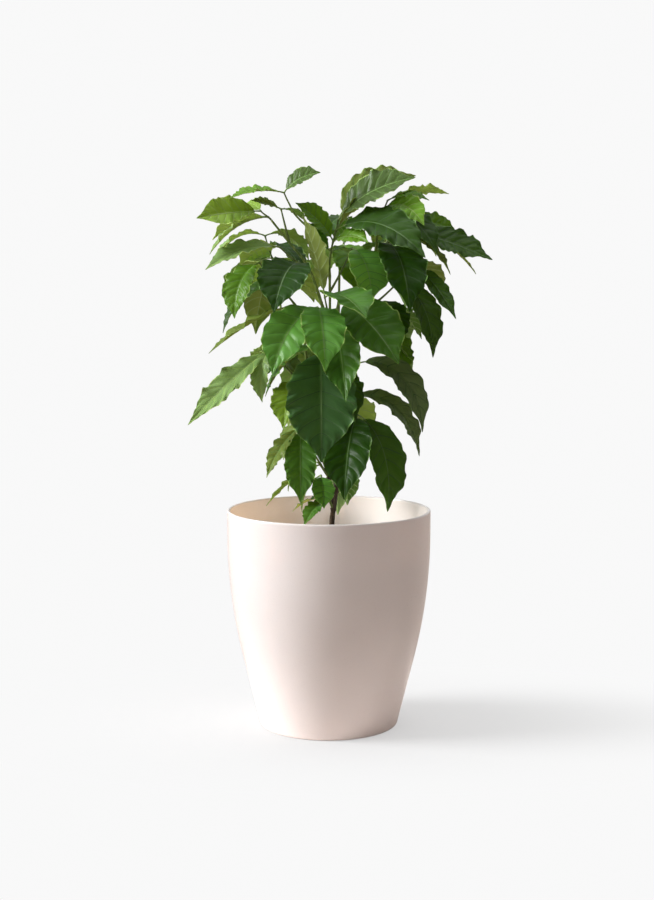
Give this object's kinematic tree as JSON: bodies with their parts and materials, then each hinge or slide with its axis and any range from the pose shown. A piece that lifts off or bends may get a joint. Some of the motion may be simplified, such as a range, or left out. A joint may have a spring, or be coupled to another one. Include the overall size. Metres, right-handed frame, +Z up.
{
  "type": "potted coffee plant",
  "caption": "Young coffee plant with glossy, drooping, wavy-edged leaves in opposite pairs on slim branching stems, in a tall round tapered planter filled with potting mix.",
  "frame": {"origin": "centre of the planter's flat underside, on the floor", "axes": "+Z up along the planter's axis, -Y towards the viewer of the picture, +X to the viewer's right"},
  "size_m": [0.3776, 0.3039, 0.7167],
  "materials": {
    "planter": "smooth satin-gloss, warm white",
    "soil": "loose, matte, dark brown",
    "bark": "matte, fine-ridged, brown at the foot and green in the upper shoots",
    "foliage": "glossy green leaves with paler undersides and midribs"
  },
  "bodies": {
    "root": {"back_bough": "bark", "back_left_bough": "bark", "leaves_back_left": "foliage", "leaves_back_left_top": "foliage", "leaves_back_mid": "foliage", "leaves_back_right": "foliage", "leaves_back_right_top": "foliage", "leaves_back_top": "foliage", "leaves_crown_centre": "foliage", "leaves_front_high": "foliage", "leaves_front_mid": "foliage", "leaves_front_right": "foliage", "leaves_front_top": "foliage", "leaves_left_front": "foliage", "leaves_left_hang": "foliage", "leaves_left_mid": "foliage", "leaves_left_top": "foliage", "leaves_low_back": "foliage", "leaves_low_front": "foliage", "leaves_low_left": "foliage", "leaves_low_right": "foliage", "leaves_right_arch": "foliage", "leaves_right_front": "foliage", "leaves_right_outer": "foliage", "leaves_right_side": "foliage", "leaves_right_top": "foliage", "leaves_sprig_left": "foliage", "leaves_sprig_top": "foliage", "left_bough": "bark", "left_stem": "bark", "planter": "planter", "right_bough": "bark", "soil": "soil", "sprig_bough": "bark", "trunk": "bark"}
  },
  "joints": []
}
